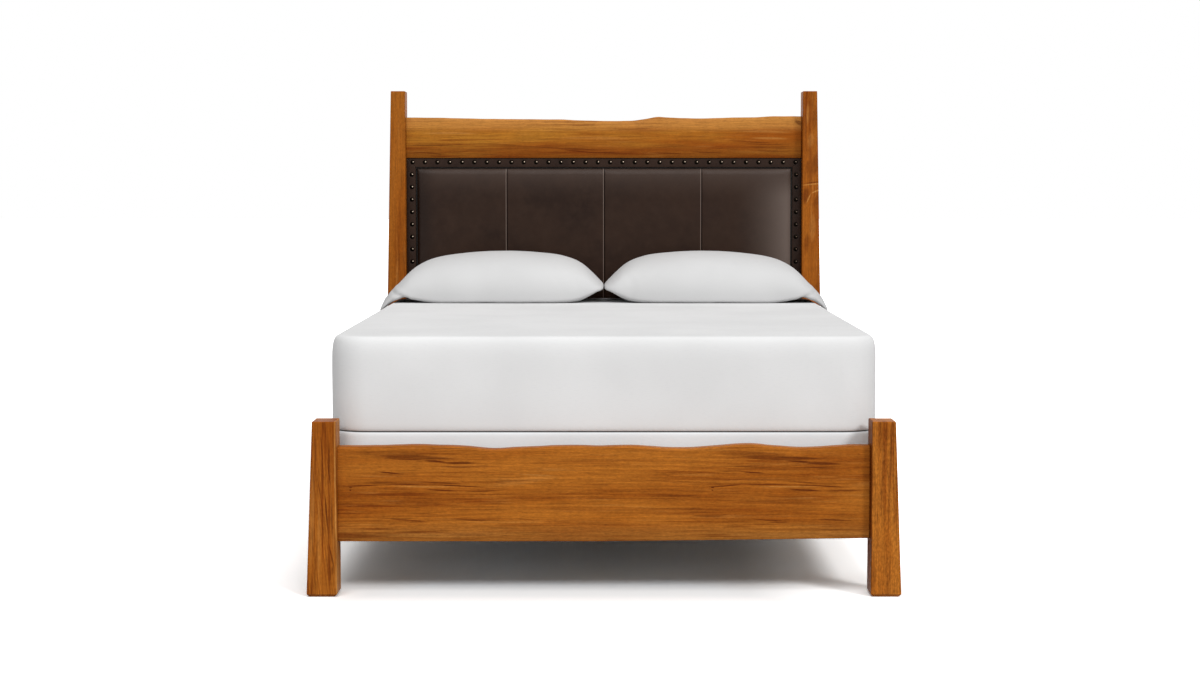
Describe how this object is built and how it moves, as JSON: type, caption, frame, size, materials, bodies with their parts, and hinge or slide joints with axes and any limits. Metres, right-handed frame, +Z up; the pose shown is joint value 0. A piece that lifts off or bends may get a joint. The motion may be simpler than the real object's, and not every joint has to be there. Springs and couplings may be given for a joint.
{
  "type": "live edge bed",
  "caption": "Wooden bed with tapered posts, live edge headboard rail and footboard, a nailed leather headboard panel, slats, foundation, mattress and pillows.",
  "frame": {"origin": "on the floor under the middle of the bed", "axes": "+Z up, +Y from the footboard to the headboard, +X to the right of someone who stands at the footboard and faces the headboard"},
  "size_m": [1.6256, 2.226, 1.464],
  "materials": {
    "finished_wood": "satin oiled hardwood, golden brown with darker streaks",
    "plain_wood": "sawn softwood, unfinished",
    "plywood": "sanded plywood",
    "dark_leather": "smooth dark brown leather with a soft sheen",
    "aged_brass": "dark aged nail heads",
    "foam": "upholstery foam",
    "mattress_cloth": "smooth white cotton",
    "pillow_cloth": "white cotton pillowcase",
    "zinc_steel": "zinc plated steel"
  },
  "bodies": {
    "bed_frame": {"foot_post_right": "finished_wood", "foot_post_left": "finished_wood", "head_post_right": "finished_wood", "head_post_left": "finished_wood", "footboard_panel": "finished_wood", "crest_rail": "finished_wood", "panel_rail": "plain_wood", "head_stretcher": "plain_wood", "side_rail_right": "finished_wood", "side_rail_left": "finished_wood", "slat_cleat_right": "plain_wood", "slat_cleat_left": "plain_wood", "slat_1": "plain_wood", "slat_2": "plain_wood", "slat_3": "plain_wood", "slat_4": "plain_wood", "slat_5": "plain_wood", "centre_beam": "plain_wood", "beam_hanger_foot": "zinc_steel", "beam_hanger_head": "zinc_steel", "centre_leg_1": "plain_wood", "centre_leg_2": "plain_wood", "post_plate_foot_right": "zinc_steel", "post_plate_foot_left": "zinc_steel", "post_plate_head_right": "zinc_steel", "post_plate_head_left": "zinc_steel", "hook_plate_foot_right": "zinc_steel", "hook_plate_foot_left": "zinc_steel", "hook_plate_head_right": "zinc_steel", "hook_plate_head_left": "zinc_steel", "hardware_screws": "zinc_steel", "cleat_screws": "zinc_steel", "slat_screws": "zinc_steel", "back_board": "plywood", "panel_stop_top": "plain_wood", "panel_stop_bottom": "plain_wood", "panel_stop_left": "plain_wood", "panel_stop_right": "plain_wood", "border_core_top": "plain_wood", "border_core_bottom": "plain_wood", "border_core_left": "plain_wood", "border_core_right": "plain_wood", "border_leather_top": "dark_leather", "border_leather_bottom": "dark_leather", "border_leather_left": "dark_leather", "border_leather_right": "dark_leather", "nails_top": "aged_brass", "nails_bottom": "aged_brass", "nails_left": "aged_brass", "nails_right": "aged_brass", "panel_foam": "foam", "leather_cover": "dark_leather"},
    "foundation": {"foundation_frame": "plain_wood", "foundation_cover": "mattress_cloth"},
    "mattress": {"mattress_core": "foam", "mattress_cover": "mattress_cloth"},
    "right_pillow": {"pillow_right": "pillow_cloth"},
    "left_pillow": {"pillow_left": "pillow_cloth"},
    "front_levelling_foot": {"levelling_foot_1": "zinc_steel"},
    "rear_levelling_foot": {"levelling_foot_2": "zinc_steel"}
  },
  "joints": [
    {"name": "foundation_lift", "type": "slide", "parent": "bed_frame", "child": "foundation", "axis": [0, 0, 1], "range_m": [0, 0.3]},
    {"name": "mattress_lift", "type": "slide", "parent": "foundation", "child": "mattress", "axis": [0, 0, 1], "range_m": [0, 0.3]},
    {"name": "right_pillow_lift", "type": "slide", "parent": "mattress", "child": "right_pillow", "axis": [0, 0, 1], "range_m": [0, 0.25]},
    {"name": "left_pillow_lift", "type": "slide", "parent": "mattress", "child": "left_pillow", "axis": [0, 0, 1], "range_m": [0, 0.25]},
    {"name": "front_foot_screw", "type": "slide", "parent": "bed_frame", "child": "front_levelling_foot", "axis": [0, 0, 1], "range_m": [-0.008, 0.01]},
    {"name": "rear_foot_screw", "type": "slide", "parent": "bed_frame", "child": "rear_levelling_foot", "axis": [0, 0, 1], "range_m": [-0.008, 0.01]}
  ]
}
